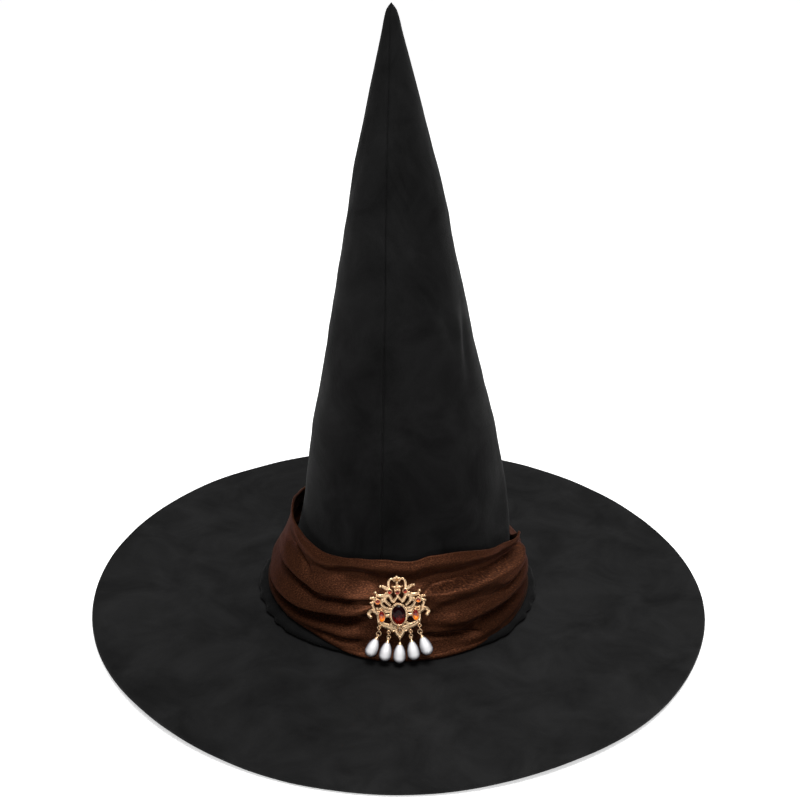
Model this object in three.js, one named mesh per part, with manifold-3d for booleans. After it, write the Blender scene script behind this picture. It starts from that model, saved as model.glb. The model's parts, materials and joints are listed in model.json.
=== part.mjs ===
// A witch hat: a tall stiffened cone on a wide flat brim, a pleated satin sash round the
// foot of the cone, and a gilt openwork brooch with five pearl drops pinned on the front.
// Millimetres, +Z up, front towards -Y. The origin is the centre of the brim's underside.
import * as THREE from 'three';
import { mergeVertices } from 'three/addons/utils/BufferGeometryUtils.js';
import Module from 'manifold-3d';

const wasm = await Module();
wasm.setup();

// ---- Driving dimensions ----
const brimRadius = 212.5;
const headRadius = 94; // of the hole in the brim, where the crown is sewn in
const hatHeight = 400;
const fabric = 0.8; // one layer of suede cloth
const gap = 0.3; // clearance between pieces that lie on each other
const seamTurn = THREE.MathUtils.degToRad(-12.5); // the crown is sewn in with its seams a little off centre
const crownSides = 28; // facets round the crown
const brimSides = 60;

const brimBoard = 1.8; // stiffener between the two brim fabrics
const brimTop = 2 * fabric + brimBoard + 2 * gap;
const crownFoot = brimTop + gap; // height at which the crown stands on the brim

const sashLow = 7;
const sashTop = 62; // height of the tilted top edge over the hat's centre
const sashDipRight = Math.atan(0.103); // the top edge dips to the right
const sashDipBack = Math.atan(0.13); // and to the back

const broochTilt = THREE.MathUtils.degToRad(15); // lean of the sash's front face
const broochTurn = THREE.MathUtils.degToRad(4); // the brooch is pinned on slightly askew
const broochStandoff = 5.2; // from the sash's face to the middle of the brooch
const broochHeight = 36.3;
const broochAcross = 1; // it sits a little to the right of the middle
const castThickness = 1.8;

const wire = 0.3; // radius of the wire in rings and eyes
const linkPlay = 0.07; // air between two linked wires
const pearlRadius = 4.1;
const pearlLength = 13.2;

// ---- Materials ----
function material(color, roughness, metalness = 0) {
  return new THREE.MeshStandardMaterial({ color, roughness, metalness });
}
const suede = material(0x161616, 0.9);
const felt = material(0x2a2a2a, 1);
const liningCloth = material(0x101010, 0.6);
const steel = material(0x9a9a9a, 0.35, 1);
const satin = material(0x4a2412, 0.4);
const gilt = material(0xe3b778, 0.25, 1);
const garnet = material(0x4a0d06, 0.1);
const topaz = material(0xd9480a, 0.1);
const champagne = material(0xc79a55, 0.1);
const pearl = material(0xe9e6ea, 0.25);

// ---- Helpers: solids, booleans and placing ----
function solidOf(geometry) {
  const bare = new THREE.BufferGeometry();
  const source = geometry.index ? geometry.toNonIndexed() : geometry;
  bare.setAttribute('position', source.getAttribute('position'));
  const merged = mergeVertices(bare, 1e-4);
  const corners = [];
  const index = merged.index.array;
  for (let i = 0; i < index.length; i += 3) {
    const [a, b, c] = index.slice(i, i + 3);
    if (a !== b && b !== c && c !== a) corners.push(a, b, c);
  }
  return new wasm.Manifold(new wasm.Mesh({
    numProp: 3,
    vertProperties: merged.getAttribute('position').array,
    triVerts: new Uint32Array(corners),
  }));
}

function geometryOf(solid) {
  const mesh = solid.getMesh();
  const geometry = new THREE.BufferGeometry();
  geometry.setAttribute('position', new THREE.BufferAttribute(mesh.vertProperties, 3));
  geometry.setIndex(new THREE.BufferAttribute(mesh.triVerts, 1));
  geometry.computeVertexNormals();
  return geometry;
}

function joined(geometries) {
  return geometries.map(solidOf).reduce((all, one) => all.add(one));
}

// A profile of [radius, height] pairs turned about the Z axis.
function turned(profile, sides) {
  const points = profile.map(([radius, height]) => new THREE.Vector2(radius, height));
  return new THREE.LatheGeometry(points, sides).rotateX(Math.PI / 2);
}

function ring(profile, sides) {
  return turned([...profile, profile[0]], sides);
}

function box(low, high) {
  const size = high.map((value, i) => value - low[i]);
  const middle = high.map((value, i) => (value + low[i]) / 2);
  return new THREE.BoxGeometry(...size).translate(...middle);
}

const hat = new THREE.Group();

function add(parent, name, geometry, finish) {
  const mesh = new THREE.Mesh(geometry, finish);
  mesh.name = name;
  parent.add(mesh);
  return mesh;
}

function groupAt(parent, name, position, turnY = 0) {
  const group = new THREE.Group();
  group.name = name;
  group.position.set(...position);
  group.rotation.y = turnY;
  parent.add(group);
  return group;
}

// ---- Crown: outer radius by height, and the slight lean of its axis ----
const crownOutline = [
  [96, crownFoot], [92.5, 6], [88, 11], [82.5, 20], [75.5, 38], [69.2, 70], [62, 120],
  [49.3, 180], [37.7, 240], [25.8, 300], [14, 350], [6.2, 382], [3.2, 396],
];
const radiusByHeight = new THREE.LinearInterpolant(
  crownOutline.map((point) => point[1]), crownOutline.map((point) => point[0]), 1);

function crownRadius(height) {
  return radiusByHeight.evaluate(height)[0];
}

// The cone's axis bows to one side above the sash and comes back past the middle at the tip.
function crownLean(height) {
  const bow = 6.9 - 15.8 * (height / hatHeight);
  return bow * THREE.MathUtils.smoothstep(height, crownFoot, 80);
}

function leaning(geometry) {
  const position = geometry.getAttribute('position');
  for (let i = 0; i < position.count; i++) {
    position.setX(i, position.getX(i) + crownLean(position.getZ(i)));
  }
  return geometry;
}

// One nested layer of the crown, open at both ends, inset from the outer radius.
function crownLayer(inset, thickness, heights) {
  const outside = heights.map((z) => [crownRadius(z) - inset, z]);
  const inside = heights.map((z) => [crownRadius(z) - inset - thickness, z]).reverse();
  return ring([...outside, ...inside], crownSides);
}

// The half of a crown layer to one side of the front and back seams.
function crownHalf(layer, side) {
  const reach = 2 * headRadius;
  const seamSteps = 16; // the seam follows the lean in this many straight stretches
  const half = new THREE.BoxGeometry(reach, 2 * reach, 2 * hatHeight, 1, 1, seamSteps)
    .translate(side * (reach + gap) / 2, 0, 0).rotateZ(seamTurn);
  return geometryOf(solidOf(leaning(layer.clone())).intersect(solidOf(leaning(half))));
}

const outerHeights = crownOutline.map((point) => point[1]);
const shellTip = 5; // depth of cloth gathered in the point
const outerShell = turned([
  [0, hatHeight - shellTip],
  ...crownOutline.slice(0, -1).map(([radius, z]) => [radius - fabric, z]).reverse(),
  ...crownOutline,
  [0, hatHeight],
], crownSides);
add(hat, 'crown_left_panel', crownHalf(outerShell, -1), suede);
add(hat, 'crown_right_panel', crownHalf(outerShell, 1), suede);

// Stiff felt fused to the back of each panel keeps the cone upright.
const stiffenerThickness = 1.5;
const stiffenerInset = fabric + gap;
const liningTop = 350;
const liningHeights = outerHeights.filter((z) => z <= liningTop);
const stiffener = crownLayer(stiffenerInset, stiffenerThickness, liningHeights);
add(hat, 'crown_stiffener_left', crownHalf(stiffener, -1), felt);
add(hat, 'crown_stiffener_right', crownHalf(stiffener, 1), felt);

const liningThickness = 0.5;
const liningInset = stiffenerInset + stiffenerThickness + gap;
add(hat, 'crown_lining', leaning(crownLayer(liningInset, liningThickness, liningHeights)), liningCloth);

// A ribbon sewn round the inside of the head opening.
const sweatbandTop = 30;
const sweatbandInset = liningInset + liningThickness + gap;
const sweatbandHeights = outerHeights.filter((z) => z <= sweatbandTop);
add(hat, 'sweatband', leaning(crownLayer(sweatbandInset, 1, sweatbandHeights)), liningCloth);

// ---- Brim: two fabrics with a stiff board and a springy wire hoop between them ----
const lip = brimRadius - fabric; // the top fabric turns down round the edge from here
const boardLow = fabric + gap;
const boardHigh = boardLow + brimBoard;

add(hat, 'brim_bottom_fabric', ring([
  [headRadius, 0], [lip - gap, 0], [lip - gap, fabric], [headRadius, fabric],
], brimSides), suede);

const hoopWidth = 1.6;
const hoopInner = lip - gap - hoopWidth;
add(hat, 'brim_stiffener', ring([
  [headRadius, boardLow], [hoopInner - gap, boardLow],
  [hoopInner - gap, boardHigh], [headRadius, boardHigh],
], brimSides), felt);
add(hat, 'brim_wire', ring([
  [hoopInner, boardLow], [hoopInner + hoopWidth, boardLow],
  [hoopInner + hoopWidth, boardHigh], [hoopInner, boardHigh],
], brimSides), steel);
add(hat, 'brim_top_fabric', ring([
  [headRadius, boardHigh + gap], [lip, boardHigh + gap], [lip, gap],
  [brimRadius, gap], [brimRadius, brimTop], [headRadius, brimTop],
], brimSides), suede);

// ---- Sash: pleated satin, close round the foot of the crown and looser at its top edge ----
const sashOutline = [[94, sashLow], [91, 15], [87, 30], [83.3, 45], [79.2, 62], [76, 78]];
const sashPlay = 0.7; // between the sash and the crown
const sashInside = sashOutline.map(([, z]) => [crownRadius(z) + sashPlay, z]).reverse();
const sashBand = leaning(ring([...sashOutline, ...sashInside], crownSides));
const aboveSash = box([-brimRadius, -brimRadius, 0], [brimRadius, brimRadius, brimRadius])
  .rotateY(sashDipRight).rotateX(-sashDipBack).translate(0, 0, sashTop);
add(hat, 'sash', geometryOf(solidOf(sashBand).subtract(solidOf(aboveSash))), satin);

// ---- Brooch: its plane lies along the sash's sloping front ----
// In this group X runs across the brooch, Z up its face, and -Y out of the hat.
const sashFront = new THREE.LinearInterpolant(
  sashOutline.map((point) => point[1]), sashOutline.map((point) => point[0]), 1);
const board = groupAt(hat, 'brooch_board', [
  broochAcross,
  -sashFront.evaluate(broochHeight)[0] - broochStandoff * Math.cos(broochTilt),
  broochHeight + broochStandoff * Math.sin(broochTilt),
]);
board.rotation.x = -broochTilt;
const brooch = groupAt(board, 'brooch', [0, 0, 0], -broochTurn);

// A flat band of the given width along a smooth line of [x, z] points, as thick as the cast.
function cast(shape, thickness = castThickness) {
  return new THREE.ExtrudeGeometry(shape, { depth: thickness, bevelEnabled: false, curveSegments: 6 })
    .rotateX(Math.PI / 2).translate(0, castThickness / 2, 0);
}

function scroll(points, width, steps = points.length + 2) {
  const line = new THREE.SplineCurve(points.map(([x, z]) => new THREE.Vector2(x, z)));
  const edge = (side) => Array.from({ length: steps + 1 }, (_, i) => {
    const along = line.getTangent(i / steps);
    const across = new THREE.Vector2(-along.y, along.x);
    return line.getPoint(i / steps).addScaledVector(across, side * width / 2);
  });
  return cast(new THREE.Shape([...edge(1), ...edge(-1).reverse()]));
}

function disc(x, z, radiusX, radiusZ = radiusX, sides = 8, thickness = castThickness) {
  const shape = new THREE.Shape();
  for (let i = 0; i < sides; i++) {
    const angle = (i + 0.5) * 2 * Math.PI / sides;
    const point = [x + radiusX * Math.cos(angle), z + radiusZ * Math.sin(angle)];
    if (i === 0) shape.moveTo(...point);
    else shape.lineTo(...point);
  }
  return cast(shape, thickness);
}

// Both the shape and its mirror image across the brooch.
function pair(make) {
  return [1, -1].map((side) => make(side));
}

const mirrored = (points, side) => points.map(([x, z]) => [side * x, z]);

// Stones as [name, x, z, radius across, radius up, sides, finish]. Each sits in a socket whose
// floor is the middle plane of the cast; its sides are a multiple of four, as its socket's are.
const stones = [
  ['centre_stone', 0, 0, 4.4, 6.4, 16, garnet],
  ['crest_stone', 0, 24.3, 0.9, 0.9, 8, champagne],
  ['top_stone_middle', 0, 15, 1.25, 1.25, 8, garnet],
  ['finial_stone', 0, -10.2, 1.2, 1.9, 8, champagne],
  ...pair((side) => [`top_stone_${side > 0 ? 'right' : 'left'}`, side * 4.9, 15.5, 1.25, 1.25, 8, garnet]),
  ...pair((side) => [`upper_stone_${side > 0 ? 'right' : 'left'}`, side * 12.9, 9.3, 1.4, 1.4, 8, topaz]),
  ...pair((side) => [`side_stone_${side > 0 ? 'right' : 'left'}`, side * 10.8, -0.4, 1.8, 3.5, 12, topaz]),
];
const settingRim = 0.8;
const stoneGap = 0.25;
const settingRise = 0.6; // how far a setting stands out of the cast

// Where the pearl drops hang: [x, z] of each loop in the cast, from left to right.
const loopRadius = 1.0;
const loops = [[-12.9, -8], [-7, -11.5], [0, -14.7], [7, -11.5], [12.9, -8]];

const scrolls = [
  { points: [[1.6, 24.8], [4, 25.4], [6, 22.4], [5.8, 18.6], [4.9, 15.5]], width: 1.1 }, // crest lobe
  { points: [[5.2, 16.4], [7.6, 18.2], [10.2, 20.6]], width: 1.2 }, // horn
  { points: [[13.9, 15.8], [13.2, 13.2], [10.4, 12.4], [7.2, 13.4], [4.9, 15]], width: 1.2 },
  { points: [[3.4, 8.2], [5.6, 11], [8.6, 11.6], [12.9, 9.3]], width: 1.3 }, // upper rib
  { points: [[5.2, 5], [8, 7.4], [10.8, 7.6], [12.9, 9.3]], width: 1.2 }, // middle rib
  { points: [[5.6, 1.6], [8, 4], [10.9, 3.2]], width: 1.2 },
  { points: [[5.4, -3], [7.6, -2], [9.6, -2.4]], width: 1.2 },
  { points: [[12.9, 9.3], [15, 6.4], [13.6, 3], [12, -1]], width: 1.3 }, // outer rim
  { points: [[12.4, 0.4], [15.8, 3.6], [18.6, 3], [19.1, 0.8], [18, -0.7]], width: 1.2 }, // side hook
  { points: [[12, -3], [12.8, -6.6], [8.8, -8.4], [4, -9.8], [0, -9.4]], width: 2 }, // garland
  { points: [[4, -4.6], [6.6, -6.4], [9.6, -7.6]], width: 1.2 },
];
const knobs = [[10.3, 20.7, 0.95], [13.9, 15.9, 0.95], [18, -0.9, 0.95], [16.2, 11.4, 1.2], [16.6, 8.2, 1.2]];

const castPieces = [
  ...scrolls.flatMap(({ points, width }) => pair((side) => scroll(mirrored(points, side), width))),
  ...knobs.flatMap(([x, z, radius]) => pair((side) => disc(side * x, z, radius))),
  ...pair((side) => scroll(mirrored([[12.9, 9.3], [16.2, 11.4]], side), 1.1)),
  ...pair((side) => scroll(mirrored([[12.9, 9.3], [16.6, 8.2]], side), 1.1)),
  scroll([[0, 7], [0, 15], [0, 24]], 1.3),
  disc(0, -12, 2.3, 2.8),
  disc(0, 18.8, 1.5, 1.5, 6), // star under the crest
];
const settings = stones.map(([, x, z, across, up, sides]) =>
  disc(x, z, across + settingRim, up + settingRim, sides, castThickness + settingRise));
const sockets = stones.map(([, x, z, across, up, sides]) =>
  disc(x, z, across + stoneGap, up + stoneGap, sides, castThickness + 2 * settingRise)
    .translate(0, -castThickness / 2, 0));
const loopRings = loops.map(([x, z]) =>
  new THREE.TorusGeometry(loopRadius, wire, 6, 10).rotateX(Math.PI / 2).translate(x, 0, z));
const loopSpace = loops.map(([x, z]) => disc(x, z, loopRadius - wire, loopRadius - wire, 10, 3 * castThickness)
  .translate(0, castThickness, 0));
const loopStems = [
  ...pair((side) => disc(side * 12.9, -6.6, 0.6)),
  ...pair((side) => scroll(mirrored([[7, -10.4], [6.6, -8.8]], side), 1)),
];

const openCast = joined([...castPieces, ...settings, ...loopStems])
  .subtract(joined(sockets))
  .subtract(joined(loopSpace))
  .add(joined(loopRings));
add(brooch, 'brooch_frame', geometryOf(openCast), gilt);

const stoneHeight = 1.5;
for (const [name, x, z, across, up, sides, finish] of stones) {
  // A cut stone: wide at the girdle in its socket, narrower at the table in front.
  const cut = new THREE.CylinderGeometry(0.6, 1, stoneHeight, sides, 1).rotateX(Math.PI);
  cut.rotateY(Math.PI / sides).scale(across, 1, up);
  add(brooch, name, cut.translate(x, -stoneGap - stoneHeight / 2, z), finish);
}

// ---- Brooch pin: a bar soldered on the back, with a hinged stem and an open catch ----
const barBack = castThickness / 2 + gap;
const barThickness = 0.8;
const barFace = barBack + barThickness;
const pinReach = 12; // from the middle to the hinge, and to the catch
const pinLine = 3; // height of the pin above the brooch's middle
const stemDepth = 3.7; // behind the middle of the cast
const stemRadius = 0.45;
const rivetRadius = 0.4;
const earGap = 1.2;
const earThickness = 0.6;

const ears = pair((side) => {
  const [low, high] = side > 0 ? [earGap, earGap + earThickness] : [-earGap - earThickness, -earGap];
  return box([pinReach - 1, barFace - 0.2, low], [pinReach + 1, stemDepth + 0.9, high]);
});
const catchWalls = pair((side) => {
  const inner = stemRadius + gap;
  const [low, high] = side > 0 ? [inner, inner + 0.5] : [-inner - 0.5, -inner];
  return box([-pinReach - 1.2, barFace - 0.2, low], [-pinReach + 1.2, stemDepth + 0.8, high]);
});
const rivetHole = new THREE.CylinderGeometry(rivetRadius + 0.1, rivetRadius + 0.1, 10, 10)
  .rotateX(Math.PI / 2).translate(pinReach, stemDepth, 0);
const pinBar = joined([box([-14, barBack, -1.9], [14, barFace, 1.9]), ...ears, ...catchWalls])
  .subtract(solidOf(rivetHole));
const pinBack = groupAt(brooch, 'pin_back', [0, 0, pinLine]);
add(pinBack, 'pin_bar', geometryOf(pinBar), gilt);

const rivetLength = earGap + earThickness + gap;
add(pinBack, 'pin_rivet', turned([
  [0, -rivetLength - 0.3], [0.75, -rivetLength - 0.3], [0.75, -rivetLength], [rivetRadius, -rivetLength],
  [rivetRadius, rivetLength], [0.75, rivetLength], [0.75, rivetLength + 0.3], [0, rivetLength + 0.3],
], 8).translate(pinReach, stemDepth, 0), gilt);

// The stem swings on the rivet; it is made with the hinge at its own origin.
const pinHinge = groupAt(pinBack, 'pin_hinge', [pinReach, stemDepth, 0]);
const knuckleRadius = 0.95;
const knuckle = ring([
  [rivetRadius + 0.1, -earGap + 0.2], [knuckleRadius, -earGap + 0.2],
  [knuckleRadius, earGap - 0.2], [rivetRadius + 0.1, earGap - 0.2],
], 10);
const stemLength = 2 * pinReach + 0.9;
const stem = turned([
  [0, 0.6], [stemRadius, 0.6], [stemRadius, stemLength - 3], [0, stemLength],
], 8).rotateY(-Math.PI / 2);
add(pinHinge, 'pin_stem', geometryOf(joined([knuckle, stem])
  .subtract(solidOf(new THREE.CylinderGeometry(rivetRadius + 0.1, rivetRadius + 0.1, 6, 10)
    .rotateX(Math.PI / 2)))), steel);

// ---- Pearl drops: each hangs from its loop by one or two rings and an eye pin ----
const eyeRadius = 0.75;
const linkStep = 2 * wire + linkPlay; // from a wire's centre to that of the wire linked through it

function ringMesh(parent, name, radius, faceOn) {
  const torus = new THREE.TorusGeometry(radius, wire, 6, 10);
  if (faceOn) torus.rotateX(Math.PI / 2);
  else torus.rotateY(Math.PI / 2);
  // Hung so that the group's origin is the wire that it hangs from.
  add(parent, name, torus.translate(0, 0, linkStep - radius), gilt);
}

// Eye, short stem and cup in one piece, with the group's origin at the wire it hangs from.
function eyePin(parent, name, faceOn, stemLow) {
  const eyeCentre = linkStep - eyeRadius;
  const eye = new THREE.TorusGeometry(eyeRadius, wire, 6, 10);
  if (faceOn) eye.rotateX(Math.PI / 2);
  else eye.rotateY(Math.PI / 2);
  eye.translate(0, 0, eyeCentre);
  const stemTop = eyeCentre - eyeRadius + 0.1;
  const shank = turned([[0, stemLow], [1.05, stemLow], [wire + 0.1, stemTop - 0.25], [0, stemTop]], 8);
  add(parent, name, geometryOf(joined([eye, shank])), gilt);
}

function pearlDrop(parent, name, top) {
  // A round end with straight flanks running up to a small flat under the cup.
  const centre = top - pearlLength + pearlRadius;
  const profile = [[0, top - pearlLength]];
  for (const degrees of [-60, -30, 0, 25]) {
    const angle = THREE.MathUtils.degToRad(degrees);
    profile.push([pearlRadius * Math.cos(angle), centre + pearlRadius * Math.sin(angle)]);
  }
  profile.push([2.2, top - 3], [0.9, top], [0, top]);
  add(parent, name, turned(profile, 12), pearl);
}

// Ring radius, number of rings, and the outward lean given to each drop by its neighbours.
const drops = [
  { ringRadius: 1.45, rings: 2, lean: -19 },
  { ringRadius: 1.15, rings: 2, lean: -8.5 },
  { ringRadius: 1.15, rings: 1, lean: -1 },
  { ringRadius: 1.15, rings: 2, lean: 8 },
  { ringRadius: 1.45, rings: 2, lean: 18 },
];
drops.forEach(({ ringRadius, rings, lean }, i) => {
  const name = `drop_${i + 1}`;
  const [x, z] = loops[i];
  const hang = groupAt(brooch, `${name}_loop`, [x, 0, z], broochTurn); // hangs straight down the sash
  const swing = groupAt(hang, `${name}_swing`, [0, 0, -loopRadius]);
  const ringDrop = linkStep - 2 * ringRadius; // from the wire above to this ring's lowest wire
  ringMesh(swing, `${name}_upper_ring`, ringRadius, false);
  const sway = groupAt(swing, `${name}_sway`, [0, 0, ringDrop], THREE.MathUtils.degToRad(-lean));
  let last = sway;
  if (rings === 2) {
    ringMesh(sway, `${name}_lower_ring`, ringRadius, true);
    last = groupAt(sway, `${name}_nod`, [0, 0, ringDrop]);
  }
  const cupLow = linkStep - 2 * eyeRadius - 0.9;
  eyePin(last, `${name}_eye_pin`, rings === 1, cupLow);
  pearlDrop(last, `${name}_pearl`, cupLow - 0.15);
});

export default hat;
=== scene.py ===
import json
import math

import bmesh
import bpy
from mathutils import Matrix, Vector, noise


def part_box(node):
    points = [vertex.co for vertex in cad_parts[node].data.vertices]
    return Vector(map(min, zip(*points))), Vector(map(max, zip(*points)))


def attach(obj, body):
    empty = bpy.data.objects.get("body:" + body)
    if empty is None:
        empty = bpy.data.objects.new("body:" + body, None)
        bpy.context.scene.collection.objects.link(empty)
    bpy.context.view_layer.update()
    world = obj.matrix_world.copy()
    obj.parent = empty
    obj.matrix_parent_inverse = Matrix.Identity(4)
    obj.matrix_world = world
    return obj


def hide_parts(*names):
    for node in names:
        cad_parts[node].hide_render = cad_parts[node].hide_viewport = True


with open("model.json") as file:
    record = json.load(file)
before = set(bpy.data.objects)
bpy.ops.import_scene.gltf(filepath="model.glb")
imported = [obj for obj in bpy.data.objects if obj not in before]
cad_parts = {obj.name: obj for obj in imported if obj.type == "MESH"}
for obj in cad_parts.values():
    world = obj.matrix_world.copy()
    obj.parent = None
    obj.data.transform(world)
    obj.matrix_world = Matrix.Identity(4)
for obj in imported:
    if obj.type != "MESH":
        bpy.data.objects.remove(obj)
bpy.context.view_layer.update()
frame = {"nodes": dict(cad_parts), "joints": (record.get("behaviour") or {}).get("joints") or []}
mm = 0.001

# ---- The view ----
# The hat stands on a table and is looked at from in front and a little above, from just under
# a metre away, with a short telephoto lens.
view_distance = 0.9
view_height = math.radians(33.09)  # of the line from the brim's middle up to the lens
look_down = math.radians(24.6)
camera_roll = math.radians(0.75)
camera = bpy.data.objects.new("camera", bpy.data.cameras.new("camera"))
bpy.context.scene.collection.objects.link(camera)
camera.data.lens = 56.1
camera.data.sensor_width = 36
place = Vector((0, -math.cos(view_height), math.sin(view_height))) * view_distance
turn = Matrix.Rotation(math.pi / 2 - look_down, 4, "X") @ Matrix.Rotation(camera_roll, 4, "Z")
camera.matrix_world = Matrix.Translation(place) @ turn
bpy.context.scene.camera = camera

# ---- The table and the light tent ----
# A white table top in a light tent: the tent's roof is bright and its walls are dimmer. Two big
# soft lamps high up give the satin its highlights, and two small low ones make the gilt sparkle.
bpy.context.scene.view_settings.view_transform = "Standard"


def plain_object(name, bm):
    mesh = bpy.data.meshes.new(name)
    bm.to_mesh(mesh)
    bm.free()
    thing = bpy.data.objects.new(name, mesh)
    bpy.context.scene.collection.objects.link(thing)
    return thing


table_half, table_drop = 12, 0.2 * mm  # half its width in metres, and how far it lies under the brim
table = bmesh.new()
bmesh.ops.create_grid(table, x_segments=4, y_segments=4, size=table_half)
bmesh.ops.translate(table, verts=table.verts, vec=(0, 0, -table_drop))
table_top = plain_object("table_top", table)
table_paint = bpy.data.materials.new("table_paint")
table_paint.use_nodes = True
paint = table_paint.node_tree.nodes["Principled BSDF"].inputs
paint["Base Color"].default_value = (0.93, 0.93, 0.93, 1)
paint["Roughness"].default_value = 0.9
paint["Specular IOR Level"].default_value = 0
paint["Emission Color"].default_value = (1, 1, 1, 1)
paint["Emission Strength"].default_value = 0.55
table_top.data.materials.append(table_paint)

tent = bpy.data.worlds.new("tent")
tent.use_nodes = True
tent_direction = tent.node_tree.nodes.new("ShaderNodeTexCoord")
tent_height = tent.node_tree.nodes.new("ShaderNodeSeparateXYZ")
tent_light = tent.node_tree.nodes.new("ShaderNodeMapRange")
tent_light.interpolation_type = "SMOOTHSTEP"
for title, value in (("From Min", 0), ("From Max", 0.8), ("To Min", 0.22), ("To Max", 1.5)):
    tent_light.inputs[title].default_value = value
tent.node_tree.links.new(tent_direction.outputs["Generated"], tent_height.inputs["Vector"])
tent.node_tree.links.new(tent_height.outputs["Z"], tent_light.inputs["Value"])
tent.node_tree.links.new(tent_light.outputs["Result"], tent.node_tree.nodes["Background"].inputs["Strength"])
bpy.context.scene.world = tent


def soft_lamp(name, power, size, place, aim):
    lamp = bpy.data.objects.new(name, bpy.data.lights.new(name, "AREA"))
    bpy.context.scene.collection.objects.link(lamp)
    lamp.data.energy = power
    lamp.data.size = size
    lamp.location = place
    lamp.rotation_euler = (Vector(aim) - Vector(place)).to_track_quat("-Z", "Y").to_euler()


lamp_aim = (0, 0, 0.05)
soft_lamp("key_lamp", 13.5, 0.5, (0.05, -0.5, 1.3), lamp_aim)
soft_lamp("back_lamp", 7, 0.7, (0.7, 0.9, 1.1), lamp_aim)
soft_lamp("left_spark", 1.3, 0.13, (-0.35, -1.1, 0.75), lamp_aim)
soft_lamp("right_spark", 1.1, 0.11, (0.45, -1.1, 0.66), lamp_aim)
sun = bpy.data.objects.new("roof_light", bpy.data.lights.new("roof_light", "SUN"))
bpy.context.scene.collection.objects.link(sun)
sun.data.energy = 1.3
sun.data.angle = math.radians(60)

# ---- Crown: the black faux suede cone ----
# Two panels of suede cloth, each fused to stiff felt and sewn to the other down the front and
# the back, with the foot of the cone turned out in a soft roll where it is sewn to the brim.
foot = 3.9  # mm above the table: the roll lies on the brim
tip = 400
crown_outline = [
    (foot, 92), (4.4, 94), (5.8, 94), (8.2, 91.5), (12, 88), (20, 82.8), (38, 75.6),
    (70, 70.1), (120, 62.8), (180, 49.9), (240, 38.3), (300, 26.4), (350, 14.6), (382, 6.6), (396, 3.1),
    (tip, 0.02),
]
seam_turn = math.radians(-12.5)  # the seams lie a little off the middle


def smooth_line(points, at, round_trip=0):
    """The value at a place on a smooth line through (place, value) points, closed if it goes round."""
    if round_trip:
        first, last = points[0], points[-1]
        points = [(last[0] - round_trip, last[1])] + points + [(first[0] + round_trip, first[1])]
        points = [(points[-3][0] - round_trip, points[-3][1])] + points
        points = points + [(points[3][0] + round_trip, points[3][1])]
        at = (at - first[0]) % round_trip + first[0]
    if at <= points[0][0]:
        return points[0][1]
    if at >= points[-1][0]:
        return points[-1][1]
    i = next(k for k in range(len(points) - 1) if at <= points[k + 1][0])
    (x0, y0), (x1, y1) = points[i], points[i + 1]
    rise = (y1 - y0) / (x1 - x0)

    def slope(k):
        if k <= 0 or k >= len(points) - 1:
            return rise
        before = (points[k][1] - points[k - 1][1]) / (points[k][0] - points[k - 1][0])
        after = (points[k + 1][1] - points[k][1]) / (points[k + 1][0] - points[k][0])
        return 0 if before * after <= 0 else 2 * before * after / (before + after)

    t = (at - x0) / (x1 - x0)
    s0, s1 = slope(i) * (x1 - x0), slope(i + 1) * (x1 - x0)
    return y0 + t * (s0 + t * (3 * (y1 - y0) - 2 * s0 - s1 + t * (s0 + s1 - 2 * (y1 - y0))))


def ease(value, low, high):
    t = min(1, max(0, (value - low) / (high - low)))
    return t * t * (3 - 2 * t)


def bump(value, middle, reach):
    """A smooth hill of height 1, about as wide as twice its reach."""
    return math.exp(-(((value - middle) / reach) ** 2))


def turned_by(angle):
    """An angle in degrees brought between -180 and 180."""
    return (angle + 180) % 360 - 180


def crown_lean(z):
    return (7.7 - 15.8 * z / tip) * ease(z, foot, 80)


def crown_dents(angle, z):
    """How far the cloth stands off the plain cone. The angle is 0 at the front and grows to the right."""
    place = Vector((math.sin(math.radians(angle)), math.cos(math.radians(angle)), z / 55))
    soft = 0.9 * noise.noise(place * 1.7) + 0.35 * noise.noise(place * 4.3)
    soft *= ease(z, 70, 130) * ease(tip - z, 10, 120)
    ripples = 0.0
    for middle, across, z_mid, reach in ((8, 16, 292, 34), (30, 14, 236, 12)):
        slant = z + 1.1 * (angle - middle)
        near = bump(angle, middle, across) * bump(z, z_mid, reach)
        ripples += 0.6 * near * math.sin(slant / 2.3 + 2 * noise.noise(place * 3))
    creases = -2.2 * bump(angle - 44 + 0.3 * (z - 212), 0, 6) * bump(z, 212, 16)
    creases -= 1.7 * bump(angle - 60 - 0.2 * (z - 190), 0, 5) * bump(z, 196, 20)
    creases += 1.5 * bump(angle - 52, 0, 7) * bump(z, 204, 18)
    fold = 2.0 * bump(angle - 80 - 0.05 * (z - 80), 0, 5) * bump(z, 82, 36)
    dip = -3.2 * bump(angle, 60, 14) * bump(z, 74, 18)
    return soft + ripples + creases + fold + dip


def foot_puckers(angle, z):
    """The roll at the foot is drawn into small radial puckers by its stitches."""
    near = bump(z, 8.5, 6)
    wave = math.sin(math.radians(angle) * 37 + 4 * noise.noise(Vector((angle / 14, 0, 0))))
    size = 0.25 + 1.8 * bump(abs(angle), 66, 16) + 0.5 * abs(noise.noise(Vector((angle / 23, 5, 0))))
    roll = 4.4 * ease(abs(angle), 22, 52) * bump(z, 4.5, 5.5)  # the sash presses it flat in front
    return near * size * (wave * 0.7 - 0.5) + roll


def crown_point(angle, z, inset):
    """A point of the crown, in metres, the given depth in mm below its outer surface."""
    radius = smooth_line(crown_outline, z) + crown_dents(angle, z) + foot_puckers(angle, z)
    radius = max(0.02, radius - inset)
    at = math.radians(angle)
    return Vector((crown_lean(z) + radius * math.sin(at), -radius * math.cos(at), z)) * mm


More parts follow.
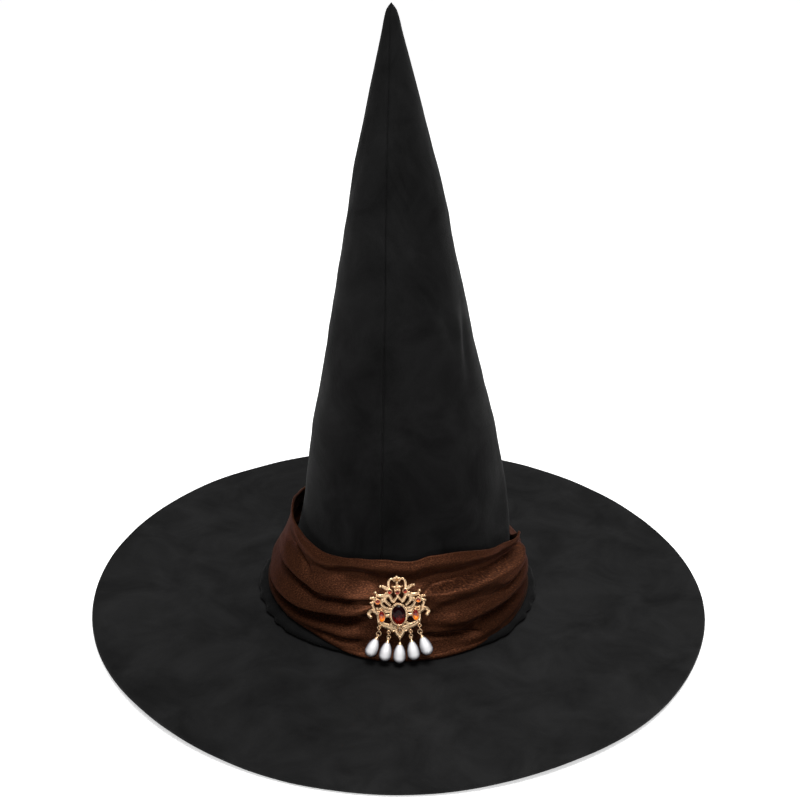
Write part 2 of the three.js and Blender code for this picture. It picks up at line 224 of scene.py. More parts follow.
def crown_half(name, side, low, high, inset, thickness, seam_gap, rows, columns):
    """One side of a layer of the crown, turned in a little where it meets the seams."""
    bm = bmesh.new()
    line = [bm.verts.new((1, 0, low + (high - low) * i / rows)) for i in range(rows + 1)]
    edges = [bm.edges.new(pair) for pair in zip(line, line[1:])]
    bmesh.ops.spin(bm, geom=line + edges, angle=math.pi, steps=columns, axis=(0, 0, 1), cent=(0, 0, 0))
    uv = bm.loops.layers.uv.new("cloth")
    for face in bm.faces:
        for loop in face.loops:
            part = math.atan2(loop.vert.co.y, loop.vert.co.x) / math.pi
            loop[uv].uv = (part * 2, loop.vert.co.z * mm * 5)
    for vert in bm.verts:
        part = abs(math.atan2(vert.co.y, vert.co.x)) / math.pi
        part -= 0.86 * math.sin(2 * math.pi * part) / (2 * math.pi)  # closer rows by the seams
        z = vert.co.z
        radius = smooth_line(crown_outline, z)
        reach = math.degrees(seam_gap / max(radius, 1.5))
        angle = reach + part * (180 - 2 * reach)
        to_seam = min(angle - reach, 180 - reach - angle) * math.radians(1) * radius
        tuck = 0.55 * math.exp(-((to_seam / 0.8) ** 2)) if inset == 0 else 0
        tuck *= ease(radius, 1, 8)
        drawn = 0.12 * math.exp(-to_seam / 3) * math.sin(z / 1.6) if inset == 0 else 0
        turned = turned_by(side * angle + math.degrees(seam_turn))
        vert.co = crown_point(turned, z, inset + tuck + drawn * ease(radius, 3, 12))
    bmesh.ops.recalc_face_normals(bm, faces=bm.faces)
    if sum(face.normal.dot(face.calc_center_median() * Vector((1, 1, 0))) for face in bm.faces) < 0:
        bmesh.ops.reverse_faces(bm, faces=bm.faces)
    for face in bm.faces:
        face.smooth = True
    half = plain_object(name, bm)
    wall = half.modifiers.new("thickness", "SOLIDIFY")
    wall.thickness = thickness * mm
    wall.offset = -1
    wall.use_even_offset = False
    return half


# The suede: a group makes the uneven nap, and the material puts the soft sheen of the pile on it.
def value_group(name, inputs, outputs):
    """A node group with named inputs and outputs, and its two ends."""
    group = bpy.data.node_groups.new(name, "ShaderNodeTree")
    for title, kind, start in inputs:
        socket = group.interface.new_socket(title, in_out="INPUT", socket_type=kind)
        socket.default_value = start
    for title, kind in outputs:
        group.interface.new_socket(title, in_out="OUTPUT", socket_type=kind)
    return group, group.nodes.new("NodeGroupInput"), group.nodes.new("NodeGroupOutput")


def noise_node(tree, scale, detail, coordinates, roughness=0.6):
    node = tree.nodes.new("ShaderNodeTexNoise")
    node.inputs["Detail"].default_value = detail
    node.inputs["Roughness"].default_value = roughness
    if isinstance(scale, (int, float)):
        node.inputs["Scale"].default_value = scale
    else:
        tree.links.new(scale, node.inputs["Scale"])
    tree.links.new(coordinates, node.inputs["Vector"])
    return node


def ramp_node(tree, source, low, high, bottom=0.0, top=1.0):
    node = tree.nodes.new("ShaderNodeMapRange")
    node.inputs["From Min"].default_value = low
    node.inputs["From Max"].default_value = high
    node.inputs["To Min"].default_value = bottom
    node.inputs["To Max"].default_value = top
    tree.links.new(source, node.inputs["Value"])
    return node


def math_node(tree, operation, first, second=None):
    node = tree.nodes.new("ShaderNodeMath")
    node.operation = operation
    for socket, value in zip(node.inputs, (first, second)):
        if isinstance(value, (int, float)):
            socket.default_value = value
        elif value is not None:
            tree.links.new(value, socket)
    return node


nap, nap_in, nap_out = value_group(
    "nap",
    [("Patch size", "NodeSocketFloat", 20.0), ("Fibre size", "NodeSocketFloat", 900.0)],
    [("Patches", "NodeSocketFloat"), ("Fibres", "NodeSocketFloat")],
)
nap_place = nap.nodes.new("ShaderNodeTexCoord")
broad = noise_node(nap, nap_in.outputs["Patch size"], 5, nap_place.outputs["Object"], 0.62)
broad.inputs["Distortion"].default_value = 0.6
fibres = noise_node(nap, nap_in.outputs["Fibre size"], 3, nap_place.outputs["Object"], 0.7)
nap.links.new(ramp_node(nap, broad.outputs["Fac"], 0.3, 0.7).outputs["Result"], nap_out.inputs["Patches"])
nap.links.new(ramp_node(nap, fibres.outputs["Fac"], 0.25, 0.75).outputs["Result"], nap_out.inputs["Fibres"])


def new_material(name):
    material = bpy.data.materials.new(name)
    material.use_nodes = True
    return material, material.node_tree, material.node_tree.nodes["Principled BSDF"]


def use_group(tree, group, **values):
    node = tree.nodes.new("ShaderNodeGroup")
    node.node_tree = group
    for title, value in values.items():
        node.inputs[title.replace("_", " ").capitalize()].default_value = value
    return node


def mixed_colour(tree, factor, dark, light):
    node = tree.nodes.new("ShaderNodeMix")
    node.data_type = "RGBA"
    node.inputs["A"].default_value = (*dark, 1)
    node.inputs["B"].default_value = (*light, 1)
    tree.links.new(factor, node.inputs["Factor"])
    return node.outputs["Result"]


def bumped(tree, height, strength, depth, before=None):
    node = tree.nodes.new("ShaderNodeBump")
    node.inputs["Strength"].default_value = strength
    node.inputs["Distance"].default_value = depth
    tree.links.new(height, node.inputs["Height"])
    if before is not None:
        tree.links.new(before, node.inputs["Normal"])
    return node.outputs["Normal"]


def pile_cloth(name, dark, light, patch, fibre, sheen, depth=0.00025):
    """A cloth with a short pile: patches of crushed nap, fine fibres and a soft sheen at its edges."""
    material, tree, shader = new_material(name)
    pattern = use_group(tree, nap, patch_size=patch, fibre_size=fibre)
    colour = mixed_colour(tree, pattern.outputs["Patches"], dark, light)
    tree.links.new(colour, shader.inputs["Base Color"])
    rough = ramp_node(tree, pattern.outputs["Patches"], 0, 1, 0.95, 0.8)
    tree.links.new(rough.outputs["Result"], shader.inputs["Roughness"])
    shader.inputs["Specular IOR Level"].default_value = 0.12
    shader.inputs["Sheen Weight"].default_value = sheen
    shader.inputs["Sheen Roughness"].default_value = 0.35
    shader.inputs["Sheen Tint"].default_value = (1, 1, 1, 1)
    coarse = bumped(tree, pattern.outputs["Patches"], 0.35, 0.0012)
    fine = bumped(tree, pattern.outputs["Fibres"], 0.5, depth, coarse)
    tree.links.new(fine, shader.inputs["Normal"])
    return material


# The crown and the brim are one suede in two copies: the crown's is painted darker as shade on its steep
# sides, and the brim's is painted lighter where it faces up into the light.
crown_pile_painted_dark = pile_cloth("crown_pile_painted_dark", (0.0008, 0.0008, 0.0008), (0.0056, 0.0056, 0.0057), 26, 1400, 0.022)
brim_pile_painted_light = pile_cloth("brim_pile_painted_light", (0.0045, 0.0045, 0.0046), (0.0118, 0.0118, 0.0120), 26, 1400, 0.045)
felt = pile_cloth("felt", (0.03, 0.03, 0.031), (0.06, 0.06, 0.062), 60, 2200, 0.1)


def finish(piece, material, body, slot, *nodes):
    piece.data.materials.append(material)
    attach(piece, body)
    if nodes:
        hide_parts(*nodes)
    return piece


for label, side in (("left", -1), ("right", 1)):
    panel = crown_half(f"crown_{label}_suede", side, foot, tip, 0, 0.8, 0.1, 200, 120)
    finish(panel, crown_pile_painted_dark, "hat", "suede", f"crown_{label}_panel")
    stiffener = crown_half(f"crown_{label}_felt", side, 5, 350, 1.25, 1.4, 0.4, 110, 60)
    finish(stiffener, felt, "hat", "felt", f"crown_stiffener_{label}")

# ---- Crown lining and sweatband ----
# A thin black lining hangs inside the cone, a little full, and a ribbed ribbon is sewn over its
# edge round the head opening.
lining_dark, lining_light = (0.006, 0.006, 0.0065), (0.014, 0.014, 0.015)
lining_cloth = pile_cloth("lining_cloth", lining_dark, lining_light, 40, 3000, 0.15, 0.0001)


def inner_ring(name, low, high, inset, thickness, fullness, rows, columns):
    """A closed layer inside the crown, standing in from it by a few folds."""
    bm = bmesh.new()
    line = [bm.verts.new((1, 0, low + (high - low) * i / rows)) for i in range(rows + 1)]
    edges = [bm.edges.new(pair) for pair in zip(line, line[1:])]
    bmesh.ops.spin(
        bm, geom=line + edges, angle=2 * math.pi, steps=columns, axis=(0, 0, 1), cent=(0, 0, 0),
        use_merge=True)
    bmesh.ops.remove_doubles(bm, verts=bm.verts, dist=1e-6)
    for vert in bm.verts:
        angle = math.degrees(math.atan2(vert.co.x, -vert.co.y))
        z = vert.co.z
        wander = 2 * noise.noise(Vector((z / 60, angle / 90, 3)))
        folds = 0.5 + 0.5 * math.sin(math.radians(angle) * 17 + wander)
        inward = fullness * folds ** 2 * ease(z, 20, 60)
        vert.co = crown_point(angle, z, inset + inward)
    bmesh.ops.recalc_face_normals(bm, faces=bm.faces)
    for face in bm.faces:
        face.smooth = True
    ring = plain_object(name, bm)
    wall = ring.modifiers.new("thickness", "SOLIDIFY")
    wall.thickness = thickness * mm
    wall.offset = -1
    wall.use_even_offset = False
    return ring


lining = inner_ring("crown_lining_cloth", 4.2, 350, 3.0, 0.4, 1.4, 110, 180)
finish(lining, lining_cloth, "hat", "lining", "crown_lining")

ribbon_cloth, tree, shader = new_material("ribbon_cloth")
ribs = tree.nodes.new("ShaderNodeTexWave")
ribs.wave_type = "BANDS"
ribs.bands_direction = "Z"
ribs.inputs["Scale"].default_value = 160
ribbon_place = tree.nodes.new("ShaderNodeTexCoord")
tree.links.new(ribbon_place.outputs["Object"], ribs.inputs["Vector"])
tree.links.new(bumped(tree, ribs.outputs["Fac"], 0.8, 0.0003), shader.inputs["Normal"])
pattern = use_group(tree, nap, patch_size=50, fibre_size=2500)
ribbon_colour = mixed_colour(tree, pattern.outputs["Fibres"], (0.009, 0.009, 0.0095), (0.02, 0.02, 0.021))
tree.links.new(ribbon_colour, shader.inputs["Base Color"])
shader.inputs["Roughness"].default_value = 0.6
shader.inputs["Sheen Weight"].default_value = 0.2
sweatband = inner_ring("sweatband_ribbon", 4.2, 19.5, 4.1, 0.9, 0, 14, 200)
finish(sweatband, ribbon_cloth, "hat", "lining", "sweatband")

# ---- Brim ----
# A ring of stiff board between two suede cloths, with a springy wire hoop at its edge. The top
# cloth is turned over the edge, and the whole brim has the slow waves of a hat that has been worn.
brim_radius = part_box("brim_top_fabric")[1].x / mm
brim_hole = 90.5
brim_thick = 3.7
brim_lifts = [
    (-180, 0.1), (-150, 0), (-120, 0.5), (-90, 0.7), (-70, 0.8), (-45, 3.2), (-15, 0.4), (0, 0.2),
    (30, 2.8), (60, 1.2), (90, 0.4), (125, 0.1), (155, 0),
]
brim_reaches = [  # how far the edge stands out from a true circle
    (-180, -2), (-150, -3), (-130, -1), (-90, -0.3), (-50, 0.2), (-30, 0.9), (0, 1.3), (30, 0.8),
    (45, 1.4), (62, 0.8), (85, 2.1), (103, 0.8), (130, -0.8),
]


def brim_lift(x, y):
    """How far the brim waves up off the table at a place, in mm."""
    out = math.hypot(x, y)
    angle = math.degrees(math.atan2(x, -y))
    edge = smooth_line(brim_lifts, angle, 360)
    far = ease(out, brim_hole + 15, brim_radius + 25)
    dents = 0.5 + 0.5 * noise.noise(Vector((x / 48, y / 48, 2)))
    dents += 0.3 * noise.noise(Vector((x / 22, y / 22, 7)))
    return edge * far * 1.15 + 0.7 * dents * ease(out, brim_hole + 8, brim_hole + 40)


def brim_ring(name, profile, steps):
    """A ring turned from a closed profile of (radius, height) in mm, then waved like the brim."""
    bm = bmesh.new()
    line = [bm.verts.new((radius, 0, height)) for radius, height in profile]
    edges = [bm.edges.new(pair) for pair in zip(line, line[1:] + line[:1])]
    bmesh.ops.spin(
        bm, geom=line + edges, angle=2 * math.pi, steps=steps, axis=(0, 0, 1), cent=(0, 0, 0), use_merge=True)
    bmesh.ops.remove_doubles(bm, verts=bm.verts, dist=1e-5)
    for vert in bm.verts:
        x, y, z = vert.co
        out = math.hypot(x, y)
        reach = smooth_line(brim_reaches, math.degrees(math.atan2(x, -y)), 360) * ease(out, 120, brim_radius)
        vert.co = Vector((x * (1 + reach / out), y * (1 + reach / out), z + brim_lift(x, y))) * mm
    bmesh.ops.recalc_face_normals(bm, faces=bm.faces)
    for face in bm.faces:
        face.smooth = True
    return plain_object(name, bm)


def steps_between(first, last, count):
    """Points from one (radius, height) towards another, without the last."""
    return [
        (first[0] + (last[0] - first[0]) * i / count, first[1] + (last[1] - first[1]) * i / count)
        for i in range(count)
    ]


def arc_points(middle, radius, start, end, count):
    """Points on an arc about a (radius, height) middle, from one angle in degrees to another."""
    made = []
    for i in range(count + 1):
        at = math.radians(start + (end - start) * i / count)
        made.append((middle[0] + radius * math.cos(at), middle[1] + radius * math.sin(at)))
    return made


cloth = 0.8
nose = brim_thick / 2  # the edge is turned over in a half round
edge_middle = (brim_radius - nose, nose)
brim_top_profile = (
    steps_between((brim_hole, brim_thick), (edge_middle[0], brim_thick), 70)
    + arc_points(edge_middle, nose, 90, -62, 14)
    + arc_points(edge_middle, nose - cloth, -62, 90, 8)
    + steps_between((edge_middle[0], brim_thick - cloth), (brim_hole, brim_thick - cloth), 70)
    + [(brim_hole, brim_thick - cloth)]
)
brim_top = brim_ring("brim_top_suede", brim_top_profile, 360)
finish(brim_top, brim_pile_painted_light, "hat", "suede", "brim_top_fabric")

under_edge = brim_radius - 3.1  # the underside cloth stops short of the turned edge
under_nose = cloth / 2
brim_under_profile = (
    steps_between((brim_hole, 0), (under_edge, 0), 60)
    + arc_points((under_edge + 0.1, under_nose), under_nose, -90, 90, 5)
    + steps_between((under_edge, cloth), (brim_hole, cloth), 60)
    + [(brim_hole, cloth)]
)
brim_under = brim_ring("brim_under_suede", brim_under_profile, 240)
finish(brim_under, brim_pile_painted_light, "hat", "suede", "brim_bottom_fabric")

board_air = 0.15  # between the board and each cloth
board_low = cloth + board_air
board_high = brim_thick - cloth - board_air
board_hole = brim_hole + 0.5
hoop_radius = 0.75
hoop_ring = brim_radius - 3.0
board_edge = hoop_ring - hoop_radius - 0.2
board_profile = (
    steps_between((board_hole, board_low), (board_edge, board_low), 40)
    + steps_between((board_edge, board_low), (board_edge, board_high), 3)
    + steps_between((board_edge, board_high), (board_hole, board_high), 40)
    + steps_between((board_hole, board_high), (board_hole, board_low), 3)
)
board = brim_ring("brim_board", board_profile, 180)
finish(board, felt, "hat", "felt", "brim_stiffener")

steel, tree, shader = new_material("drawn_steel")
steel_place = tree.nodes.new("ShaderNodeTexCoord")
drawn = noise_node(tree, 900, 4, steel_place.outputs["Object"])
steel_colour = mixed_colour(tree, drawn.outputs["Fac"], (0.42, 0.42, 0.43), (0.62, 0.62, 0.63))
steel_polish = ramp_node(tree, drawn.outputs["Fac"], 0.3, 0.7, 0.22, 0.4)
tree.links.new(steel_colour, shader.inputs["Base Color"])
tree.links.new(steel_polish.outputs["Result"], shader.inputs["Roughness"])
tree.links.new(bumped(tree, drawn.outputs["Fac"], 0.3, 0.00005), shader.inputs["Normal"])
shader.inputs["Metallic"].default_value = 1
hoop_middle = (hoop_ring, (board_low + board_high) / 2)
hoop = brim_ring("brim_wire_hoop", arc_points(hoop_middle, hoop_radius, 0, 330, 11), 240)
finish(hoop, steel, "hat", "steel", "brim_wire")

# ---- Sash ----
# A strip of dark brown satin, cut wider than it lies. Its long edges are turned in, it is wrapped
# round the foot of the cone with its ends lapped at the back, and it is drawn into soft pleats
# that run together under the brooch.
sash_outline = [(3, 95.6), (7, 94), (15, 91), (30, 87), (45, 83.3), (62, 79.2), (80, 75.6)]
sash_top = [
    (-180, 50), (-140, 56), (-104, 63.5), (-90, 66.5), (-76, 64), (-60, 61.5), (-45, 60.5), (-32, 62),
    (-20, 65.5), (-8, 66.5), (2, 66), (14, 69.5), (27, 69), (40, 65), (55, 60), (70, 57), (77, 56.5),
    (83, 50),
    (89, 44), (96, 41), (110, 42), (150, 45),
]
sash_bottom = [
    (-180, 12), (-120, 13), (-85, 13), (-60, 12.5), (-45, 12.2), (-30, 9.6), (-20, 7), (-8, 5.6), (8, 5.2),
    (20, 5.4), (36, 6.6), (52, 8.2), (70, 10.5), (100, 12), (140, 12),
]

# Each pleat is a ridge (or, with a negative rise, a crease) along (angle, height) points: its rise
# in mm of a slack strip, and how quickly it falls away above and below its line.
pleat_depth = 1.8  # how much deeper they lie once the strip is drawn in
pleats = [
    # on the left: an upper ridge over its crease, a big soft billow, and a lower ridge
    ([(-100, 42), (-71, 41), (-54, 41.5), (-39, 40.5), (-27, 43), (-12, 45.5)], 3.0, 6.5, 2.4),
    ([(-82, 38), (-64, 38), (-50, 36), (-40, 34.5), (-31, 37), (-21, 39.5), (-11, 43)], -2.2, 1.6, 2.6),
    (
        [(-106, 25), (-76, 24), (-60, 25), (-46, 26), (-37, 28.5), (-28, 31), (-19, 33), (-8, 37)],
        4.1, 7.5, 2.2,
    ),
    (
        [(-84, 18.5), (-70, 19.5), (-58, 19), (-48, 19.5), (-40, 21.5), (-31, 24), (-20, 26.5), (-8, 28)],
        -3.2, 1.8, 3,
    ),
    ([(-104, 15), (-74, 16), (-56, 16), (-40, 17), (-26, 17.5), (-10, 17)], 1.9, 3.2, 4.5),
    ([(-84, 52), (-66, 50), (-52, 47), (-38, 49), (-24, 53), (-10, 55)], -1.7, 4.5, 5),
    ([(-74, 56), (-58, 50), (-44, 43.5)], -1.3, 1.6, 1.6),
    ([(-24, 36.5), (-16, 38), (-9, 39)], -1.4, 1.1, 1.3),
    ([(-30, 41), (-20, 42), (-10, 43.5)], 0.9, 1.4, 1.4),
    ([(-36, 14), (-25, 12.5), (-13, 13.5)], -1.4, 1.5, 2),
    # on the right: the lower fold stands proud of the band above it, and is creased twice below
    ([(6, 42), (13, 46), (21, 48), (35, 48), (47, 47), (58, 45.5), (74, 43), (96, 41)], 3.4, 1.2, 9),
    (
        [(6, 44.8), (13, 48.6), (21, 50.6), (32, 50.8), (44, 49.8), (57, 48.2), (72, 45.6), (90, 43.4)],
        -4.2, 8, 1.6,
    ),
    ([(36, 36.5), (44, 35), (56, 35), (68, 36.5), (90, 38)], -1.5, 1.8, 2.2),
    ([(40, 41), (52, 40), (66, 42), (84, 43)], 0.9, 2.4, 2.2),
    ([(10, 29), (24, 28.5), (40, 29), (56, 30), (74, 30), (98, 29)], 3.6, 7, 5.5),
    ([(30, 23), (41, 22.5), (50, 21.5), (70, 20)], -1.9, 1.7, 2.2),
    ([(8, 18), (16, 18.2), (23, 17.6), (30, 15.5), (40, 13)], -2.2, 1.0, 2.2),
    ([(7, 21), (16, 21.4), (26, 21), (34, 19)], 1.0, 3, 1.4),
    ([(24, 11), (42, 13), (64, 15), (100, 16)], 1.6, 4, 4),
    # behind the top of the brooch, and round the back
    ([(-40, 50), (-28, 50), (-15, 51), (0, 52), (12, 53), (24, 54)], -3.0, 7, 4),
    ([(116, 42), (145, 41), (180, 42), (220, 43), (256, 42)], 1.8, 5, 3.5),
    ([(98, 35), (140, 34), (180, 33.5), (222, 32), (262, 33)], -2.2, 2.4, 3),
    ([(92, 24), (135, 26), (180, 25), (225, 25.5), (268, 25)], 2.6, 5.5, 4),
    ([(98, 18), (140, 19), (185, 18), (262, 18.5)], -1.8, 2, 3),
]


def pleats_at(angle):
    """The pleats that cross the sash at an angle: (height, rise, reach above, reach below) of each."""
    crossing = []
    for line, rise, above, below in pleats:
        first, last = line[0][0], line[-1][0]
        at = angle if first < angle < last else angle + 360
        if first < at < last:
            fade = min(14, (last - first) / 3)
            strength = ease(at - first, 0, fade) * ease(last - at, 0, fade)
            crossing.append((smooth_line(line, at), rise * strength * pleat_depth, above, below))
    return crossing


def pleat_rise(crossing, z):
    """How far the pleats lift the cloth at a height."""
    total = 0.0
    for middle, rise, above, below in crossing:
        away = z - middle
        total += rise * math.exp(-((away / (above if away > 0 else below)) ** 2))
    return total


def sash_wrinkles(angle, z):
    """Fine wrinkles along the pleats, and short ones that run out from the brooch."""
    along = noise.noise(Vector((angle / 17, z / 5.5, 1))) + 0.5 * noise.noise(Vector((angle / 9, z / 2.6, 4)))
    across = math.radians(angle - 0.5) * 86
    up = z - 37
    reach = math.hypot(across, up)
    rays = math.sin(11 * math.atan2(up, across) + 1.5 * noise.noise(Vector((across / 12, up / 12, 9))))
    return 0.55 * along + 0.45 * rays * bump(reach, 24, 10)


hem = 5.0  # turned in along both edges
hem_roll = 0.75
pulled_tight = 1.5  # how much closer the strip lies than the plain outline
sash_air = 1.1  # kept between the strip and the crown
sash_start, sash_end = -187, 181  # the ends lap at the back
strip_length, strip_width = 0.56, 0.085
sash_bm = bmesh.new()
bmesh.ops.create_grid(sash_bm, x_segments=420, y_segments=104, size=1)
sash_uv = sash_bm.loops.layers.uv.new("cloth")
for face in sash_bm.faces:
    face.smooth = True
    for loop in face.loops:
        across, up = (loop.vert.co.x + 1) / 2, (loop.vert.co.y + 1) / 2
        loop[sash_uv].uv = (across * strip_length, up * strip_width)
sash_columns = {}
for vert in sash_bm.verts:
    angle = round(sash_start + (sash_end - sash_start) * (vert.co.x + 1) / 2, 3)
    if angle not in sash_columns:
        sash_columns[angle] = (
            smooth_line(sash_bottom, angle, 360) + 0.5 * noise.noise(Vector((angle / 11, 0, 0))),
            smooth_line(sash_top, angle, 360) + 0.8 * noise.noise(Vector((angle / 13, 0, 5))),
            pleats_at(turned_by(angle)),
        )
    low, high, crossing = sash_columns[angle]
    length = 2 * hem + high - low
    run = (vert.co.y + 1) / 2 * length
    past = max(hem - run, run - (length - hem), 0)
    z = min(max(low + run - hem, low), high)
    around = min(past / hem_roll, math.pi)
    outward = hem_roll * math.sin(around)
    inward = hem_roll * (1 - math.cos(around))
    straight = max(0, past - math.pi * hem_roll)
    upper = run > length / 2
    inside = z - straight if upper else z + straight
    bare = turned_by(angle)
    radius = smooth_line(sash_outline, inside) - pulled_tight
    edge = min(z - low, high - z)
    rise = pleat_rise(crossing, inside) * (0.35 + 0.65 * ease(edge, 0, 5)) + sash_wrinkles(bare, inside)
    quiet = 1 - 0.72 * bump(bare, 0.5, 9) * bump(inside, 34, 26) - 0.55 * bump(abs(bare), 88, 17)
    rise = rise * quiet - 1.6 * bump(bare, 0.5, 11) * bump(inside, 36, 24)
    in_front = ease(80 - abs(bare), 0, 25)
    rise += in_front * (0.7 * bump(high - z, 5, 4) - 1.5 * ease(z - high, -4, 0))
    rise += (1 - in_front) * 0.7 * bump(high - z, 0.5, 3.8) + 1.2 * bump(z - low, 0.5, 3.2)
    standing_off = 1.2 * bump(bare, -96, 34) * ease(inside, 40, 66)
    standing_off += 2.2 * bump(bare, 72, 8) * ease(inside, 40, 55)
    standing_off -= 9 * ease(bare, 80, 94) * ease(-bare, -180, -150) * ease(inside, 28, 42)
    lap = -1.4 * ease(-bare, 172, 178) if angle < -179.9 else 0
    lap = -1.5 if angle < -180 else lap
    radius += rise + standing_off + lap - inward
    least = smooth_line(crown_outline, max(inside, foot)) + sash_air + crown_dents(bare, inside)
    radius = max(radius, least)
    height = inside + (outward if upper else -outward)
    at = math.radians(bare)
    lean = crown_lean(inside)
    vert.co = Vector((lean + radius * math.sin(at), -radius * math.cos(at), height)) * mm
bmesh.ops.recalc_face_normals(sash_bm, faces=sash_bm.faces)
if sum(face.normal.dot(face.calc_center_median() * Vector((1, 1, 0))) for face in sash_bm.faces) < 0:
    bmesh.ops.reverse_faces(sash_bm, faces=sash_bm.faces)
sash = plain_object("sash_satin", sash_bm)
sash_wall = sash.modifiers.new("thickness", "SOLIDIFY")
sash_wall.thickness = 0.35 * mm
sash_wall.offset = -1

satin, tree, shader = new_material("satin")
satin_uv = tree.nodes.new("ShaderNodeUVMap")
satin_uv.uv_map = "cloth"
stretch = tree.nodes.new("ShaderNodeMapping")
stretch.inputs["Scale"].default_value = (0.25, 1, 1)
tree.links.new(satin_uv.outputs["UV"], stretch.inputs["Vector"])
threads = noise_node(tree, 2600, 3, stretch.outputs["Vector"], 0.7)
slubs = noise_node(tree, 420, 4, stretch.outputs["Vector"], 0.6)
pattern = use_group(tree, nap, patch_size=70, fibre_size=1600)
glint = math_node(tree, "POWER", ramp_node(tree, threads.outputs["Fac"], 0.35, 0.75).outputs["Result"], 2.0)
shine = math_node(tree, "MULTIPLY", glint.outputs["Value"], pattern.outputs["Fibres"])
satin_colour = mixed_colour(tree, shine.outputs["Value"], (0.022, 0.0078, 0.0044), (0.42, 0.150, 0.066))
tree.links.new(satin_colour, shader.inputs["Base Color"])
satin_rough = ramp_node(tree, slubs.outputs["Fac"], 0.3, 0.7, 0.46, 0.58)
tree.links.new(satin_rough.outputs["Result"], shader.inputs["Roughness"])
shader.inputs["Metallic"].default_value = 0.72
shader.inputs["Specular IOR Level"].default_value = 0.3
shader.inputs["Specular Tint"].default_value = (0.5, 0.28, 0.18, 1)
shader.inputs["Sheen Weight"].default_value = 0.03
shader.inputs["Sheen Roughness"].default_value = 0.4
shader.inputs["Sheen Tint"].default_value = (0.9, 0.6, 0.48, 1)
slub_normal = bumped(tree, slubs.outputs["Fac"], 0.35, 0.0005)
tree.links.new(bumped(tree, threads.outputs["Fac"], 0.35, 0.00012, slub_normal), shader.inputs["Normal"])
finish(sash, satin, "hat", "satin", "sash")

# ---- Brooch: the gilt openwork casting ----
# A cast openwork plaque of leaves and scrolls round an oval stone, plated in pale gold. The fine
# work is laid out flat, fused into one casting, and set on the sash at the angle it is pinned.
joints = {joint["name"]: joint for joint in frame["joints"]}
outward = Vector(joints["brooch_lift"]["axis"]).normalized()
upward = -Vector(joints["pin_open"]["axis"]).normalized()
rightward = upward.cross(outward)


def node_points(name):
    return [vert.co.copy() for vert in frame["nodes"][name].data.vertices]


def node_middle(name):
    low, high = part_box(name)
    return (low + high) / 2


stone_depth = 1.0  # of a stone's middle in front of the casting's middle
brooch_middle = node_middle("centre_stone") - outward * stone_depth * mm
on_brooch = Matrix.Translation(brooch_middle) @ Matrix(
    [[rightward[i], -outward[i], upward[i]] for i in range(3)]).to_4x4()


def brooch_extent(name):
    """The lowest and highest corner of a CAD node in the brooch's own frame, in mm."""
    local = on_brooch.inverted()
    points = [local @ point / mm for point in node_points(name)]
    low = Vector([min(point[i] for point in points) for i in range(3)])
    high = Vector([max(point[i] for point in points) for i in range(3)])
    return low, high


def stroke(points, widths, thickness=1.0, rounding=5):
    """A tapering scroll along (x, z) points: a round bar flattened front to back."""
    curve = bpy.data.curves.new("stroke", "CURVE")
    curve.dimensions = "3D"
    curve.bevel_depth = 1
    curve.bevel_resolution = 3
    curve.resolution_u = rounding
    curve.use_fill_caps = True
    line = curve.splines.new("NURBS")
    line.points.add(len(points) - 1)
    line.use_endpoint_u = True
    line.order_u = min(4, len(points))
    for point, (x, z), width in zip(line.points, points, widths):
        point.co = (x, 0, z, 1)
        point.radius = width / 2
    holder = bpy.data.objects.new("stroke", curve)
    mesh = bpy.data.meshes.new_from_object(holder)
    bm = bmesh.new()
    bm.from_mesh(mesh)
    bmesh.ops.scale(bm, verts=bm.verts, vec=(1, thickness, 1))
    bpy.data.objects.remove(holder)
    bpy.data.curves.remove(curve)
    bpy.data.meshes.remove(mesh)
    return bm


def merged(parts):
    """Several small meshes gathered into one."""
    whole = bmesh.new()
    for part in parts:
        mesh = bpy.data.meshes.new("part")
        part.to_mesh(mesh)
        part.free()
        whole.from_mesh(mesh)
        bpy.data.meshes.remove(mesh)
    return whole


def bead(x, y, z, radius):
    bm = bmesh.new()
    bmesh.ops.create_icosphere(bm, subdivisions=2, radius=radius)
    bmesh.ops.translate(bm, verts=bm.verts, vec=(x, y, z))
    return bm


def oval_wall(x, z, across, up, wide, front, back, sides=40):
    """An oval setting round a stone: a wall with a rounded lip, standing on the casting."""
    profile = [(0, back), (0, front + 0.2), (0.35, front), (0.7, front + 0.05), (1, front + 0.4), (1, back)]
    bm = bmesh.new()
    rings = []
    for step, depth in profile:
        ring = bmesh.ops.create_circle(bm, segments=sides, radius=1)["verts"]
        for vert in ring:
            grow = wide * step
            vert.co = Vector((x + vert.co.x * (across + grow), depth, z + vert.co.y * (up + grow)))
        rings.append([edge for edge in bm.edges if all(vert in ring for vert in edge.verts)])
    for first, second in zip(rings, rings[1:] + rings[:1]):
        bmesh.ops.bridge_loops(bm, edges=first + second)
    bmesh.ops.recalc_face_normals(bm, faces=bm.faces)
    return bm


def both(points):
    return [points, [(-x, z) for x, z in points]]


